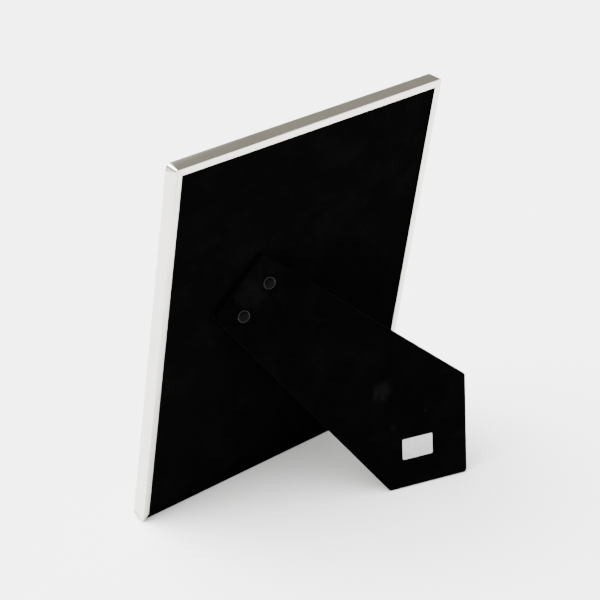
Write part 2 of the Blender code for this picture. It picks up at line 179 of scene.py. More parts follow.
class PhotoFrameColours(bpy.types.PropertyGroup):
    """Colours of the finishes."""

    silver: colour("Silver", "Polished rails", (0.61, 0.598, 0.545))
    tarnish: colour("Tarnish", "Faint warm patches on the rails", (0.55, 0.530, 0.465))
    # Painted reflection: a darker beige for wedges next to the mitres, standing in for the dull
    # patch that the rounded corners mirror.
    painted_corner_reflection: colour("Polish mark", "Dull wedge next to a mitre", (0.20, 0.187, 0.16))
    velvet: colour("Velvet", "Velvet seen into the pile", (0.0007, 0.0007, 0.0007))
    # Also the colour of the painted highlights on the leg's velvet.
    nap: colour("Nap", "Velvet where the pile is brushed over", (0.0023, 0.0023, 0.0022))
    rivet: colour("Rivet", "Black enamel of the leg's rivets", (0.0010, 0.0010, 0.0010))
    # Painted highlight: a dark metal for the rivets' rims, so that they mirror the room brighter
    # than the enamel, like ring highlights.
    rivet_rim: colour("Rivet rim", "Rims where the enamel is rubbed thin", (0.012, 0.012, 0.012))
    label: colour("Label", "Blank foil label", (0.36, 0.36, 0.358))
    steel: colour("Steel", "Braces and board rivets", (0.50, 0.50, 0.51))
    black_steel: colour("Black steel", "Hinge leaves and pin", (0.045, 0.045, 0.048))
    board: colour("Board", "Pressed fibre boards", (0.16, 0.105, 0.062))
    card: colour("Card", "Grey filler card", (0.40, 0.385, 0.36))
    lining: colour("Lining", "Black lining paper", (0.014, 0.014, 0.015))
    print_border: colour("Print border", "White border of the print", (0.80, 0.79, 0.77))
    print_sky: colour("Print sky", "Upper tone of the print", (0.10, 0.15, 0.21))
    print_haze: colour("Print haze", "Tone at the print's horizon", (0.42, 0.36, 0.27))
    print_hill: colour("Print hill", "Nearest tone of the print", (0.006, 0.013, 0.018))
    floor: colour("Floor", "Studio floor", (0.90, 0.90, 0.90))
    room: colour("Room", "The white tent round the stage", (1.0, 0.995, 0.985))
    shade: colour("Shade", "The tent's large shaded part", (0.205, 0.195, 0.174))
    drape: colour("Drape", "A beige drape low in the tent", (0.36, 0.335, 0.29))


class PhotoFrameStudio(bpy.types.PropertyGroup):
    """The camera and the lights."""

    aim: FloatVectorProperty(
        name="Aim", description="Point that the camera looks at",
        default=(0.004, -0.011, 0.137), size=3, subtype="TRANSLATION", unit="LENGTH",
    )
    distance: length("Distance", "From the camera to its aim", 1.160)
    azimuth: FloatProperty(
        name="Azimuth", description="Camera's turn round the frame", subtype="ANGLE",
        default=math.radians(136.964),
    )
    elevation: FloatProperty(
        name="Elevation", description="Camera's height above the floor", subtype="ANGLE",
        default=math.radians(28.603),
    )
    roll: FloatProperty(
        name="Roll", description="Camera's roll, clockwise", subtype="ANGLE",
        default=math.radians(1.243),
    )
    lens: FloatProperty(
        name="Lens", description="Focal length in millimetres", default=112.81, min=1
    )
    floor_reach: length("Floor reach", "From the middle of the floor to its edges", 90.0)
    room_power: FloatProperty(
        name="Room power", description="Brightness of the tent", default=2.4, min=0
    )
    sun_power: FloatProperty(
        name="Sun power", description="Light on a surface that faces the wide sun",
        default=16.0, min=0,
    )
    sun_width: FloatProperty(
        name="Sun width", description="How wide the sun looks from the stage", subtype="ANGLE",
        default=math.radians(64),
    )


# Finishes ----------------------------------------------------------------------------------------


class Value:
    """An output of a shader node, on which arithmetic adds the Math nodes it needs."""

    def __init__(self, finish, output):
        self.finish = finish
        self.output = output

    def __add__(self, other):
        return self.finish.math("ADD", self, other)

    def __radd__(self, other):
        return self.finish.math("ADD", other, self)

    def __sub__(self, other):
        return self.finish.math("SUBTRACT", self, other)

    def __rsub__(self, other):
        return self.finish.math("SUBTRACT", other, self)

    def __mul__(self, other):
        return self.finish.math("MULTIPLY", self, other)

    def __rmul__(self, other):
        return self.finish.math("MULTIPLY", other, self)


class Finish:
    """The nodes of one material, drawn in the object's own metres, or of the room's light."""

    def __init__(self, name, kind=bpy.data.materials, place="Object"):
        self.made = kind.new(name)
        self.made.use_nodes = True
        self.tree = self.made.node_tree
        self.tree.nodes.clear()
        self.place = self.node("ShaderNodeTexCoord", output=place)

    def node(self, kind, settings=None, values=None, output=0):
        """Adds a node: first its settings, then the values or links of its sockets."""
        made = self.tree.nodes.new(kind)
        for name, setting in (settings or {}).items():
            setattr(made, name, setting)
        for name, value in (values or {}).items():
            socket = made.inputs[name]
            if isinstance(value, Value):
                self.tree.links.new(value.output, socket)
            else:
                socket.default_value = value
        return Value(self, made.outputs[output]) if made.outputs else None

    def math(self, operation, first, second):
        return self.node("ShaderNodeMath", {"operation": operation}, {0: first, 1: second})

    def mix(self, share, first, second):
        """A colour that goes from the first to the second with share."""
        pair = [v if isinstance(v, Value) else (*v, 1.0) for v in (first, second)]
        values = {0: share, 6: pair[0], 7: pair[1]}
        return self.node("ShaderNodeMix", {"data_type": "RGBA"}, values, output=2)

    def rise(self, value, low, high):
        """0 below low and 1 above high, with a smooth step between."""
        values = {"Value": value, "From Min": low, "From Max": high}
        return self.node("ShaderNodeMapRange", {"interpolation_type": "SMOOTHSTEP"}, values)

    def stretched(self, scale):
        """The place, multiplied along each axis."""
        settings = {"operation": "MULTIPLY"}
        return self.node("ShaderNodeVectorMath", settings, {0: self.place, 1: scale})

    def along(self, direction, origin=(0, 0, 0)):
        """Distance from the origin along a direction."""
        settings = {"operation": "DOT_PRODUCT"}
        values = {0: self.place, 1: Vector(direction).normalized()}
        measured = self.node("ShaderNodeVectorMath", settings, values, output="Value")
        return measured - Vector(origin).dot(Vector(direction).normalized())

    def away(self, point):
        """Distance from a point."""
        settings = {"operation": "DISTANCE"}
        return self.node("ShaderNodeVectorMath", settings, {0: self.place, 1: point}, "Value")

    def noise(self, size, detail=2.0, place=None, blend=0.5):
        """Cloudy noise with features of about this size, near 0.5 on average."""
        values = {
            "Vector": place or self.place, "Scale": 1 / size, "Detail": detail,
            "Roughness": blend,
        }
        return self.node("ShaderNodeTexNoise", {}, values)

    def grains(self, size):
        """Distance to the nearest of scattered points about this far apart."""
        values = {"Vector": self.place, "Scale": 1 / size}
        return self.node("ShaderNodeTexVoronoi", {}, values)

    def bump(self, height, distance, under=None):
        """A relief of this height in metres, on top of another."""
        values = {"Height": height, "Distance": distance, "Strength": 1.0}
        if under:
            values["Normal"] = under
        return self.node("ShaderNodeBump", {}, values)

    def surface(self, values):
        """Ends the material in one Principled surface."""
        shader = self.node("ShaderNodeBsdfPrincipled", {}, values)
        return self.finished(shader)

    def finished(self, shader, kind="ShaderNodeOutputMaterial"):
        self.node(kind, {}, {"Surface": shader})
        return self.made


def polished_silver(colours):
    """Bright plated metal with slight waves, wiping marks, faint warm patches and painted
    reflections at the corners.
    """
    finish = Finish("polished_silver")
    patches = finish.rise(finish.noise(26 * MM, detail=4), 0.46, 0.72)
    smears = finish.rise(finish.noise(5 * MM, detail=5, blend=0.6), 0.50, 0.78)
    waves = finish.noise(17 * MM, detail=1)
    wiped = finish.noise(0.5 * MM, detail=2, place=finish.stretched((1, 1, 0.04)))
    crossed = finish.noise(0.6 * MM, detail=2, place=finish.stretched((0.05, 0.8, 1)))
    height = finish.along(UP, PANEL.place((0, 0, FRAME_HEIGHT / 2)))
    from_end = FRAME_HEIGHT / 2 - finish.math("ABSOLUTE", height, 0)
    from_side = HALF_WIDTH - finish.math("ABSOLUTE", finish.along(ACROSS), 0)
    rear = finish.along(REAR, PANEL.place((0, 0, 0)))
    # Painted reflection: a darker wedge on the side walls next to each mitre stands in for the dull
    # beige patch that the rounded corners mirror.
    slope, tip, softness = 0.42, 0.8 * MM, 0.5 * MM
    wedges = 1 - finish.rise(from_end + rear * slope - tip, 0, softness)
    painted_corner_reflections = wedges * (1 - finish.rise(from_side, 0.3 * MM, 0.6 * MM))
    relief = finish.bump(waves, 0.10 * MM)
    relief = finish.bump(wiped + crossed, 0.0016 * MM, relief)
    return finish.surface({
        "Base Color": finish.mix(
            painted_corner_reflections * 0.8, finish.mix(patches * 0.55, colours.silver, colours.tarnish),
            colours.painted_corner_reflection,
        ),
        "Metallic": 1.0,
        "Roughness": 0.055 + smears * 0.055 + patches * 0.03,
        "Normal": relief,
    })


def velvet(name, colours, marks=()):
    """Dense black pile: brushed patches, single bright fibres and any lighter spots given as marks,
    some brushed nap and some painted highlight.
    """
    finish = Finish(name)
    brushed = finish.rise(finish.noise(30 * MM, detail=5, blend=0.62), 0.42, 0.74)
    swept = finish.rise(finish.noise(7 * MM, detail=3), 0.48, 0.80)
    pile = finish.noise(0.35 * MM, detail=3, blend=0.7)
    tufts = finish.grains(0.5 * MM)
    fibres = finish.rise(finish.noise(0.22 * MM, detail=1), 0.68, 0.80)
    lighter_nap_and_highlight = brushed * 0.35 + swept * 0.20 + fibres * 0.5
    # Each mark lightens the velvet round a point; on the leg these are brushed nap and painted
    # highlight.
    for point, reach, strength in marks:
        ragged = finish.away(point) + (finish.noise(4 * MM, detail=3) - 0.5) * reach
        lighter_nap_and_highlight = lighter_nap_and_highlight + (1 - finish.rise(ragged, reach * 0.25, reach)) * strength
    relief = finish.bump(swept, 0.10 * MM)
    relief = finish.bump(pile + tufts * 0.6, 0.16 * MM, relief)
    return finish.surface({
        "Base Color": finish.mix(lighter_nap_and_highlight, colours.velvet, colours.nap),
        "Roughness": 0.92 - pile * 0.15,
        "Specular IOR Level": 0.0,
        "Sheen Weight": 0.008,
        "Sheen Roughness": 0.35,
        "Sheen Tint": (0.95, 0.96, 1.0, 1.0),
        "Normal": relief,
    })


def rivet_enamel(colours, highlight_rims):
    """Gloss black enamel with fingerprints and fine scuffs; a dark metal ring on each rim is a
    painted highlight.

    Each rim is its centre and the radius from which its painted highlight starts."""
    finish = Finish("rivet_black")
    wear_and_rim_highlight = 0.0
    # Painted highlight: a metal ring round each rim mirrors the room brighter than the enamel.
    for centre, radius in highlight_rims:
        past = finish.away(centre) - radius
        near = 1 - finish.rise(past, 0.5 * MM, 0.9 * MM)
        wear_and_rim_highlight = finish.rise(past, 0, 0.25 * MM) * near + wear_and_rim_highlight
    print_marks = finish.rise(finish.noise(1.6 * MM, detail=4), 0.45, 0.75)
    scuffs = finish.noise(0.25 * MM, detail=2, place=finish.stretched((1, 0.15, 1)))
    return finish.surface({
        "Base Color": finish.mix(
            wear_and_rim_highlight, finish.mix(print_marks * 0.6, colours.rivet, (0.003, 0.003, 0.0031)),
            colours.rivet_rim,
        ),
        "Metallic": wear_and_rim_highlight,
        "Roughness": 0.16 + print_marks * 0.16,
        "Specular IOR Level": 0.012,
        "Normal": finish.bump(scuffs, 0.004 * MM),
    })


def label_foil(colours):
    """Satin foil with fine lines along it and a soft mottle."""
    finish = Finish("label_silver")
    lines = finish.noise(0.16 * MM, detail=2, place=finish.stretched((1, 1, 0.04)))
    mottle = finish.rise(finish.noise(2.2 * MM, detail=4), 0.40, 0.72)
    return finish.surface({
        "Base Color": finish.mix(mottle * 0.5 + lines * 0.2, colours.label, (0.29, 0.29, 0.292)),
        "Metallic": 0.75,
        "Roughness": 0.34 + mottle * 0.08,
        "Normal": finish.bump(lines, 0.006 * MM),
    })


def worn_metal(name, tone, roughness, grain):
    """Plain sheet metal with rolling lines, dull patches and small rubbed spots."""
    finish = Finish(name)
    patches = finish.rise(finish.noise(6 * MM, detail=4), 0.40, 0.72)
    wear_and_rim_highlight = finish.rise(finish.noise(1.1 * MM, detail=3), 0.62, 0.75)
    rolled = finish.noise(grain, detail=2, place=finish.stretched((0.12, 1, 1)))
    dull = [part * 0.72 for part in tone]
    bright = [min(1.0, part * 1.5 + 0.02) for part in tone]
    return finish.surface({
        "Base Color": finish.mix(wear_and_rim_highlight * 0.5, finish.mix(patches, tone, dull), bright),
        "Metallic": 1.0,
        "Roughness": roughness + patches * 0.14 - wear_and_rim_highlight * 0.08,
        "Normal": finish.bump(rolled, 0.010 * MM),
    })


def fibre(name, tone, fleck, size, depth):
    """Pressed fibre, card or paper: cloudy colour, short flecks and a felted surface."""
    finish = Finish(name)
    clouds = finish.rise(finish.noise(size * 30, detail=4), 0.35, 0.70)
    short = finish.stretched((1, 0.35, 1))
    flecks = finish.rise(finish.noise(size * 2, detail=3, place=short, blend=0.65), 0.55, 0.72)
    felt = finish.noise(size, detail=4, blend=0.65)
    pale = [part * 1.25 for part in tone]
    return finish.surface({
        "Base Color": finish.mix(flecks * 0.55, finish.mix(clouds, tone, pale), fleck),
        "Roughness": 0.82 + flecks * 0.08,
        "Specular IOR Level": 0.25,
        "Normal": finish.bump(felt, depth),
    })


def clear_glass():
    """Low-reflection sheet glass: clear seen straight through, with a trace of dust."""
    finish = Finish("clear_glass")
    dust = finish.rise(finish.noise(9 * MM, detail=5, blend=0.7), 0.55, 0.85)
    clear = finish.node("ShaderNodeBsdfTransparent", {}, {"Color": (0.95, 0.975, 0.965, 1)})
    mirror = finish.node("ShaderNodeBsdfGlossy", {}, {"Color": (1, 1, 1, 1), "Roughness": 0.02})
    facing = finish.node("ShaderNodeFresnel", {}, {"IOR": 1.5})
    straight, grazing = 0.05, 1.0
    share = finish.rise(facing, straight, grazing) * 0.35 + dust * 0.002
    both = finish.node("ShaderNodeMixShader", {}, {0: share, 1: clear, 2: mirror})
    return finish.finished(both)


def print_paper(colours):
    """A generic print: a white border round soft hills under a hazy sky."""
    finish = Finish("print_paper")
    low, high = PANEL.span("photo_insert")
    across = finish.along(ACROSS)
    height = finish.along(UP, PANEL.place((0, 0, 0)))
    foot, top = low.z, high.z
    border, soft, tall = 16 * MM, 0.15 * MM, high.z - low.z
    inside = 1.0
    for edge in (height - foot, top - height, across - low.x, high.x - across):
        inside = finish.rise(edge, border, border + soft) * inside
    sky = finish.mix(
        finish.rise(height, foot + 0.45 * tall, foot + 1.0 * tall),
        colours.print_haze, colours.print_sky,
    )
    picture = sky
    far_to_near = ((0.47, 70, 0.35), (0.38, 48, 0.62), (0.27, 60, 1.0))
    for level, size, share in far_to_near:
        wander = finish.noise(size * MM, detail=3, place=finish.stretched((1, 0, 0))) - 0.5
        crest = foot + tall * level + wander * (0.20 * tall) + across * (0.5 - share) * 0.4
        hill = 1 - finish.rise(height - crest, 0, 0.8 * MM)
        both = zip(colours.print_hill, colours.print_haze)
        tone = [near * share + far * (1 - share) for near, far in both]
        fog = finish.rise(crest - height, 0, 55 * MM) * 0.35
        picture = finish.mix(hill, picture, finish.mix(fog, tone, colours.print_haze))
    fade = finish.noise(14 * MM, detail=4)
    picture = finish.mix((fade - 0.45) * 0.3, picture, colours.print_haze)
    gelatine = finish.noise(2.5 * MM, detail=2)
    return finish.surface({
        "Base Color": finish.mix(inside, colours.print_border, picture),
        "Roughness": 0.38 + gelatine * 0.10,
        "Normal": finish.bump(gelatine, 0.004 * MM),
    })


def studio_floor(colours):
    """Pale seamless paper with the faintest unevenness."""
    finish = Finish("studio_floor")
    shade = finish.rise(finish.noise(0.35, detail=3), 0.3, 0.8)
    darker = [part * 0.985 for part in colours.floor]
    return finish.surface({
        "Base Color": finish.mix(shade, colours.floor, darker),
        "Roughness": 0.75,
        "Specular IOR Level": 0.2,
    })


# Meshes ------------------------------------------------------------------------------------------


def make_piece(name, points, faces, axes, material, body, stands_for=()):
    """A smooth closed piece from points in some axes, riding on a body in place of nodes."""
    mesh = bpy.data.meshes.new(name)
    mesh.from_pydata([axes.place(point) for point in points], [], faces)
    shell = bmesh.new()
    shell.from_mesh(mesh)
    bmesh.ops.recalc_face_normals(shell, faces=shell.faces)
    shell.to_mesh(mesh)
    shell.free()
    mesh.shade_smooth()
    mesh.set_sharp_from_angle(angle=SHARP_ANGLE)
    mesh.materials.append(material)
    piece = bpy.data.objects.new(name, mesh)
    bpy.context.scene.collection.objects.link(piece)
    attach(piece, body)
    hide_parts(*stands_for)
    return piece


def arc(centre, radius, start, stop, steps):
    """Points of an arc between two angles in degrees."""
    angles = [math.radians(start + (stop - start) * i / steps) for i in range(steps + 1)]
    return [
        (centre[0] + radius * math.cos(a), centre[1] + radius * math.sin(a)) for a in angles
    ]


def joined_rings(rings, closed_ends=(True, True)):
    """Points and faces of a tube through rings of equal count, capped where asked."""
    count = len(rings[0])
    points = [point for ring in rings for point in ring]
    faces = []
    for start in range(0, len(points) - count, count):
        for i in range(count):
            j = (i + 1) % count
            faces.append((start + i, start + j, start + count + j, start + count + i))
    if closed_ends[0]:
        faces.append(tuple(range(count)))
    if closed_ends[1]:
        faces.append(tuple(range(len(points) - count, len(points))))
    return points, faces


def turned_rings(profile, centre, sides):
    """Rings of a shape turned about the third axis from (radius, height) points."""
    rings = []
    for radius, height in profile:
        angles = [2 * math.pi * i / sides for i in range(sides)]
        rings.append([
            (centre[0] + radius * math.cos(a), centre[1] + radius * math.sin(a), height)
            for a in angles
        ])
    return rings


def hull(points):
    """The convex outline of flat points, counter-clockwise."""
    ordered = sorted(set((round(x, 7), round(y, 7)) for x, y in points))

    def chain(sequence):
        kept = []
        for p in sequence:
            while len(kept) > 1 and cross(kept[-2], kept[-1], p) <= 0:
                kept.pop()
            kept.append(p)
        return kept[:-1]

    return chain(ordered) + chain(ordered[::-1])


def cross(a, b, c):
    return (b[0] - a[0]) * (c[1] - a[1]) - (b[1] - a[1]) * (c[0] - a[0])


def sharp_corners(points, sides):
    """Where the longest straight sides of a convex outline meet, in order."""
    outline = hull(points)
    edges = [(Vector(a), Vector(b)) for a, b in zip(outline, outline[1:] + outline[:1])]
    longest = sorted(edges, key=lambda edge: (edge[1] - edge[0]).length)[-sides:]
    kept = [edge for edge in edges if edge in longest]
    corners = []
    for (a, b), (c, d) in zip(kept, kept[1:] + kept[:1]):
        first, second = b - a, d - c
        turn = first.x * second.y - first.y * second.x
        share = ((c - a).x * second.y - (c - a).y * second.x) / turn
        corners.append(a + first * share)
    return corners


def soft_outline(corners, radius, spacing, arc_steps=9):
    """(point, outward normal) pairs along a convex outline with rounded corners."""
    count = len(corners)
    sides = []
    for i in range(count):
        direction = (corners[(i + 1) % count] - corners[i]).normalized()
        sides.append(Vector((direction.y, -direction.x)))
    marks = []
    for i in range(count):
        before, after = sides[i - 1], sides[i]
        centre = corners[i] - (before + after) * (radius / (1 + before.dot(after)))
        opening = before.angle_signed(after)
        for step in range(arc_steps + 1):
            normal = before.copy()
            normal.rotate(Matrix.Rotation(-opening * step / arc_steps, 2))
            marks.append((centre + normal * radius, normal))
    outline = []
    for i, (point, normal) in enumerate(marks):
        outline.append((point, normal))
        following, next_normal = marks[(i + 1) % len(marks)]
        pieces = int((following - point).length / spacing)
        for step in range(1, pieces):
            outline.append((point.lerp(following, step / pieces), normal.lerp(next_normal, 0.5)))
    return outline


def cover(outline, low, high, cloth, fold, spacing, relief):
    """Points and faces of cloth pulled over a board: a face, folded edges and a hollow inside.

    The relief moves the face outwards by a height at each of its places."""
    half = cloth / 2
    section = arc((half, low + half), half, 0, -180, 8)
    section += arc((fold, high - fold), fold, 180, 90, 8)
    rings = [[(*(point - normal * cloth), high - cloth) for point, normal in outline]]
    for inset, height in section:
        lift = max(0.0, (height - high + fold) / fold)
        ring = []
        for point, normal in outline:
            x, y = point - normal * inset
            ring.append((x, y, height + lift * relief(x, y)))
        rings.append(ring)
    rim = [Vector(place[:2]) for place in rings[-1]]
    middle = sum(rim, Vector((0, 0))) / len(rim)
    steps = max(2, int(max((place - middle).length for place in rim) / spacing))
    for step in range(1, steps):
        ring = []
        for place in rim:
            x, y = middle + (place - middle) * (1 - step / steps)
            ring.append((x, y, high + relief(x, y)))
        rings.append(ring)
    points, faces = joined_rings(rings, closed_ends=(True, False))
    count = len(outline)
    last = len(points) - count
    points.append((middle.x, middle.y, high + relief(*middle)))
    for i in range(count):
        faces.append((last + i, last + (i + 1) % count, len(points) - 1))
    return points, faces


def outline_area(corners):
    pairs = zip(corners, corners[1:] + corners[:1])
    return abs(sum(a.x * b.y - a.y * b.x for a, b in pairs)) / 2


def outline_length(corners):
    return sum((b - a).length for a, b in zip(corners, corners[1:] + corners[:1]))


def ripple(x, y, size, seed):
    """Gentle noise between -1 and 1 with features of about this size."""
    return noise.noise(Vector((x / size, y / size, seed)))


# Rails -------------------------------------------------------------------------------------------


def front_part(sizes):
    """(inset, depth) points from the wall round the front edge to the inside of the front lip."""
    front, radius, half = -RAIL_DEPTH, sizes.front_edge, sizes.lip / 2
    outline = arc((radius, front + radius), radius, 180, 270, 10)
    outline += arc((lip_reach(front) - half, front + half), half, 270, 450, 8)
    outline.append((sizes.wall, front + sizes.lip))
    return outline


def channel_profile(sizes, opening=0.0):
    """Section of a rail whose rear lip has a rounded inner edge and a groove, open up to 1."""
    half, radius = sizes.lip / 2, sizes.rear_edge
    groove = sizes.groove_place
    spread = (sizes.groove_width + (sizes.open_width - sizes.groove_width) * opening) / 2
    outline = front_part(sizes)
    outline.append((sizes.wall, -sizes.lip))
    outline += arc((lip_reach(0) - half, -half), half, 270, 450, 8)
    deep = sizes.groove_depth + (sizes.open_depth - sizes.groove_depth) * opening
    outline += [(groove + spread, 0), (groove, -deep), (groove - spread, 0)]
    outline += arc((radius, -radius), radius, 90, 180, 8)
    return outline


def bottom_profile(sizes):
    """Section of the bottom rail, whose wall stops in front of the slot for the back."""
    rear = PANEL.span("bottom_rail")[1].y
    half = sizes.wall / 2
    return front_part(sizes) + arc((half, rear - half), half, 0, 180, 8)


def shrunk(profile, amount):
    """The closed section moved in by amount all round."""
    count = len(profile)
    points = [Vector(point) for point in profile]
    area = sum(
        points[i - 1].x * points[i].y - points[i].x * points[i - 1].y for i in range(count)
    )
    side = math.copysign(1, area)
    result = []
    for i in range(count):
        along = (points[(i + 1) % count] - points[i - 1]).normalized()
        inward = Vector((-along.y, along.x)) * side
        result.append(tuple(points[i] + inward * amount))
    return result


def round_corner(inset, depth, share, sizes):
    """(distance from the sharp corner, inset) of a place near a corner.

    Its share goes from 0 on the straight to 1 at the mitre.  The corner is rounder at the front."""
    radius = sizes.corner - (sizes.front_corner - sizes.corner) * depth / RAIL_DEPTH
    step_back = (1 - share) * 0.25 * radius
    if inset >= radius:
        return inset + step_back, inset
    angle = share * math.pi / 4
    reach = radius - inset
    return radius - reach * math.sin(angle) + step_back, radius - reach * math.cos(angle)


def rail_rings(profile_at, full_length, sizes):
    """Rings of (along, inset, depth) from mitre to mitre; profile_at gives the section there."""
    steps, rows = 6, 48
    clear = sizes.seam * math.sqrt(2)
    eased = clear + sizes.seam_bevel * math.sqrt(2)

    def end_rings(at, from_end):
        profile = profile_at(at)
        stations = [(shrunk(profile, sizes.seam_bevel), clear, 1.0)]
        stations += [(profile, eased, 1 - step / steps) for step in range(steps + 1)]
        rings = []
        for section, shift, share in stations:
            ring = []
            for inset, depth in section:
                distance, moved = round_corner(inset, depth, share, sizes)
                along = shift + distance
                ring.append((full_length - along if from_end else along, moved, depth))
            rings.append(ring)
        return rings

    first, last = end_rings(0, False), end_rings(full_length, True)[::-1]
    middle = []
    for row in range(1, rows):
        share = row / rows
        places = zip(first[-1], last[0], profile_at(share * full_length))
        middle.append([(a[0] + (b[0] - a[0]) * share, *place) for a, b, place in places])
    return first + middle + last


class PHOTOFRAME_OT_rails(bpy.types.Operator):
    """Build the four polished rails, mitred at rounded corners"""

    bl_idname = "photo_frame.rails"
    bl_label = "Polished rails"

    def execute(self, context):
        sizes = context.scene.photo_frame_sizes
        metal = polished_silver(context.scene.photo_frame_colours)
        wide, tall = 2 * HALF_WIDTH, FRAME_HEIGHT

        def side(below_top):
            return channel_profile(sizes, max(0.0, 1 - below_top / sizes.open_reach) ** 2)

        rails = (
            ("bottom_rail", lambda _: bottom_profile(sizes), wide, (-HALF_WIDTH, 0), (1, 0)),
            ("right_rail", lambda along: side(tall - along), tall, (HALF_WIDTH, 0), (0, 1)),
            ("top_rail", lambda _: channel_profile(sizes), wide, (HALF_WIDTH, tall), (-1, 0)),
            ("left_rail", side, tall, (-HALF_WIDTH, tall), (0, -1)),
        )
        for node, profile_at, full_length, (x, z), (dx, dz) in rails:
            rings = [
                [(x + dx * along - dz * inset, depth, z + dz * along + dx * inset)
                 for along, inset, depth in ring]
                for ring in rail_rings(profile_at, full_length, sizes)
            ]
            points, faces = joined_rings(rings)
            make_piece(
                f"polished_{node}", points, faces, PANEL, metal, "frame", [node]
            )
        return {"FINISHED"}


# Velvet ------------------------------------------------------------------------------------------


class PHOTOFRAME_OT_back_velvet(bpy.types.Operator):
    """Wrap the sliding back in velvet, crowned a little between the rear lips"""

    bl_idname = "photo_frame.back_velvet"
    bl_label = "Velvet back"

    def execute(self, context):
        sizes = context.scene.photo_frame_sizes
        axes = Axes(PANEL.place((0, 0, 0)), UP, ACROSS, REAR)
        low, high = axes.span("back_velvet")
        corners = sharp_corners([p[:2] for p in axes.points("back_velvet")], 4)
        lip, ease = lip_reach(0), 12 * MM

        def relief(x, y):
            edge = min(x - low.x, high.x - x, y - low.y, high.y - y)
            share = min(1.0, max(0.0, (edge - lip) / ease))
            crown = sizes.back_crown * share * share * (3 - 2 * share)
            return crown + 0.04 * MM * share * ripple(x, y, 38 * MM, 1.5)

        outline = soft_outline(corners, sizes.back_corner, sizes.back_mesh)
        points, faces = cover(
            outline, low.z, high.z, sizes.cloth, sizes.back_fold, sizes.back_mesh, relief
        )
        cloth = make_piece(
            "velvet_back_cover", points, faces, axes,
            velvet("black_velvet", context.scene.photo_frame_colours),
            "back_panel", ["back_velvet"],
        )
        return {"FINISHED"}


def rivet_places():
    """(node, centre, head radius, bottom, top) of each leg rivet in the leg's axes."""
    places = []
    for node in ("leg_rivet_upper", "leg_rivet_lower"):
        low, high = LEG.span(node)
        places.append((node, (low + high) / 2, (high.x - low.x) / 2, low.z, high.z))
    return places


class PHOTOFRAME_OT_leg_velvet(bpy.types.Operator):
    """Wrap the leg in velvet, drawn in round its two rivets"""

    bl_idname = "photo_frame.leg_velvet"
    bl_label = "Velvet leg"

    def execute(self, context):
        sizes = context.scene.photo_frame_sizes
        low, high = LEG.span("leg_velvet")
        corners = sharp_corners([p[:2] for p in LEG.points("leg_velvet")], 5)
        rivets = rivet_places()

        def relief(x, y):
            height = 0.05 * MM * ripple(x, y, 26 * MM, 4.2) - 0.05 * MM
            for _, centre, radius, _, _ in rivets:
                past = math.hypot(x - centre.x, y - centre.y) - radius
                height -= sizes.pull * math.exp(-max(0.0, past / sizes.pull_reach) ** 2)
            return height

        outline = soft_outline(corners, sizes.leg_corner, sizes.leg_mesh)
        points, faces = cover(
            outline, low.z, high.z, sizes.cloth, sizes.leg_fold, sizes.leg_mesh, relief
        )
        # Lighter spots: the first three are patches of brushed nap; the last three are painted
        # highlight where the hinge end and its two corners catch the light.
        nap_and_highlight_spots = [
            (LEG.place((along, up, high.z)), reach * MM, strength)
            for along, up, reach, strength in (
                (0.122, 0.003, 9, 1.1),
                (0.146, -0.012, 2.5, 0.7),
                (0.158, 0.010, 2.0, 0.7),
                (0.002, 0.000, 14, 0.5),
                (low.x, low.y, 5, 0.9),
                (low.x, -low.y, 5, 0.9),
            )
        ]
        cloth = make_piece(
            "velvet_leg_cover", points, faces, LEG,
            velvet("leg_velvet", context.scene.photo_frame_colours, nap_and_highlight_spots),
            "leg", ["leg_velvet"],
        )
        turn = high.z - low.z
        area = outline_area(corners) + outline_length(corners) * turn
        return {"FINISHED"}


class PHOTOFRAME_OT_leg_rivets(bpy.types.Operator):
    """Build the two domed rivets that hold the leg to its hinge"""

    bl_idname = "photo_frame.leg_rivets"
    bl_label = "Leg rivets"

    def execute(self, context):
        sizes = context.scene.photo_frame_sizes
        face = LEG.span("leg_velvet")[1].z
        rim, groove = sizes.rivet_rim, sizes.rivet_groove
        places = rivet_places()
        # Where each rivet's painted rim highlight starts.
        highlight_rims = [
            (LEG.place((*centre[:2], face)), radius - 2 * rim) for _, centre, radius, _, _ in places
        ]
        enamel = rivet_enamel(context.scene.photo_frame_colours, highlight_rims)
        seat = face - sizes.pull - 0.05 * MM
        rim_top = seat + 0.45 * MM + 2 * rim
        shank, tail_radius, tail_thick = 1.4 * MM, 2.3 * MM, 0.4 * MM
        tip, tail_edge, head_edge = 0.02 * MM, 0.1 * MM, 0.15 * MM
        dome_drop, steps = 0.7 * groove, 12
        for node, centre, radius, tail, top in places:
            dome = radius - 2.6 * rim
            profile = [
                (tip, tail),
                (tail_radius - tail_edge, tail),
                (tail_radius, tail + tail_edge),
                (tail_radius, tail + tail_thick),
                (shank, tail + tail_thick),
                (shank, seat),
                (radius - head_edge, seat),
                (radius, seat + head_edge),
            ]
            profile += arc((radius - rim, rim_top - rim), rim, 0, 150, 10)
            profile.append((dome + 0.25 * rim, rim_top - groove))
            for step in range(steps):
                angle = math.pi / 2 * step / steps
                rise = (top - rim_top + dome_drop) * math.sin(angle)
                profile.append((dome * math.cos(angle), rim_top - dome_drop + rise))
            profile.append((tip, top))
            rings = turned_rings(profile, centre, sizes.rivet_sides)
            points, faces = joined_rings(rings)
            make_piece(
                f"domed_{node}", points, faces, LEG, enamel, "leg", [node]
            )
        return {"FINISHED"}


